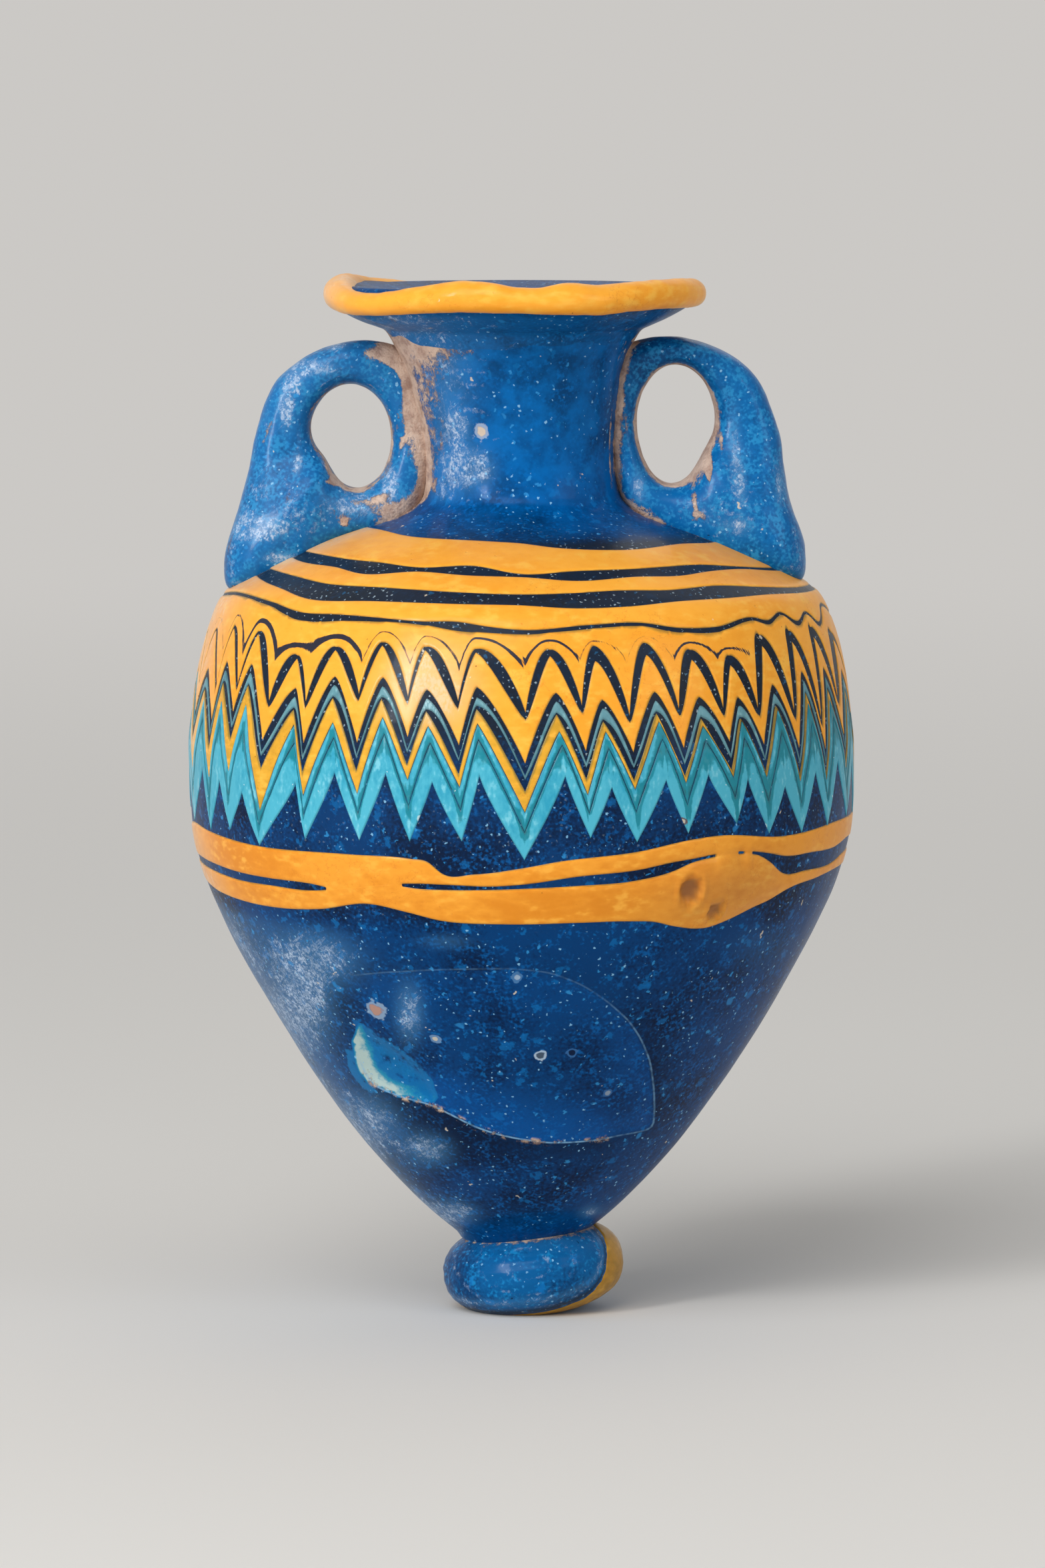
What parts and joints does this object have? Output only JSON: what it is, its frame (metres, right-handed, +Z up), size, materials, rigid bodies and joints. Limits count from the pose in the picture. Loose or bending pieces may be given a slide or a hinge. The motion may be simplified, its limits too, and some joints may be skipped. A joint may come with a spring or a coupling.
{
  "type": "amphoriskos",
  "caption": "Small core-formed glass flask with ring handles, a broad rim, a knob foot and combed zigzag trails rolled flush into the body.",
  "frame": {"origin": "on the body's axis, in the plane that the knob foot rests on", "axes": "+Z up through the mouth, +X towards the right-hand handle, -Y towards the front that the picture shows"},
  "size_m": [0.064, 0.064, 0.1001],
  "materials": {
    "blue_glass": "opaque cobalt-blue glass, fire-polished gloss with pale bubbles, specks and milky weathering",
    "yellow_glass": "opaque yellow-orange glass, soft gloss with pin-holes",
    "turquoise_glass": "opaque turquoise glass, soft gloss, streaked with darker teal"
  },
  "bodies": {
    "root": {"vessel_body": "blue_glass", "rim_disc": "blue_glass", "rim_trail": "yellow_glass", "handle_left": "blue_glass", "handle_right": "blue_glass", "base_knob": "blue_glass", "knob_trail": "yellow_glass", "shoulder_trail": "yellow_glass", "zigzag_yellow_trail": "yellow_glass", "zigzag_turquoise_thread": "turquoise_glass", "zigzag_yellow_thread": "yellow_glass", "zigzag_turquoise_trail": "turquoise_glass", "lower_trail": "yellow_glass"}
  },
  "joints": []
}
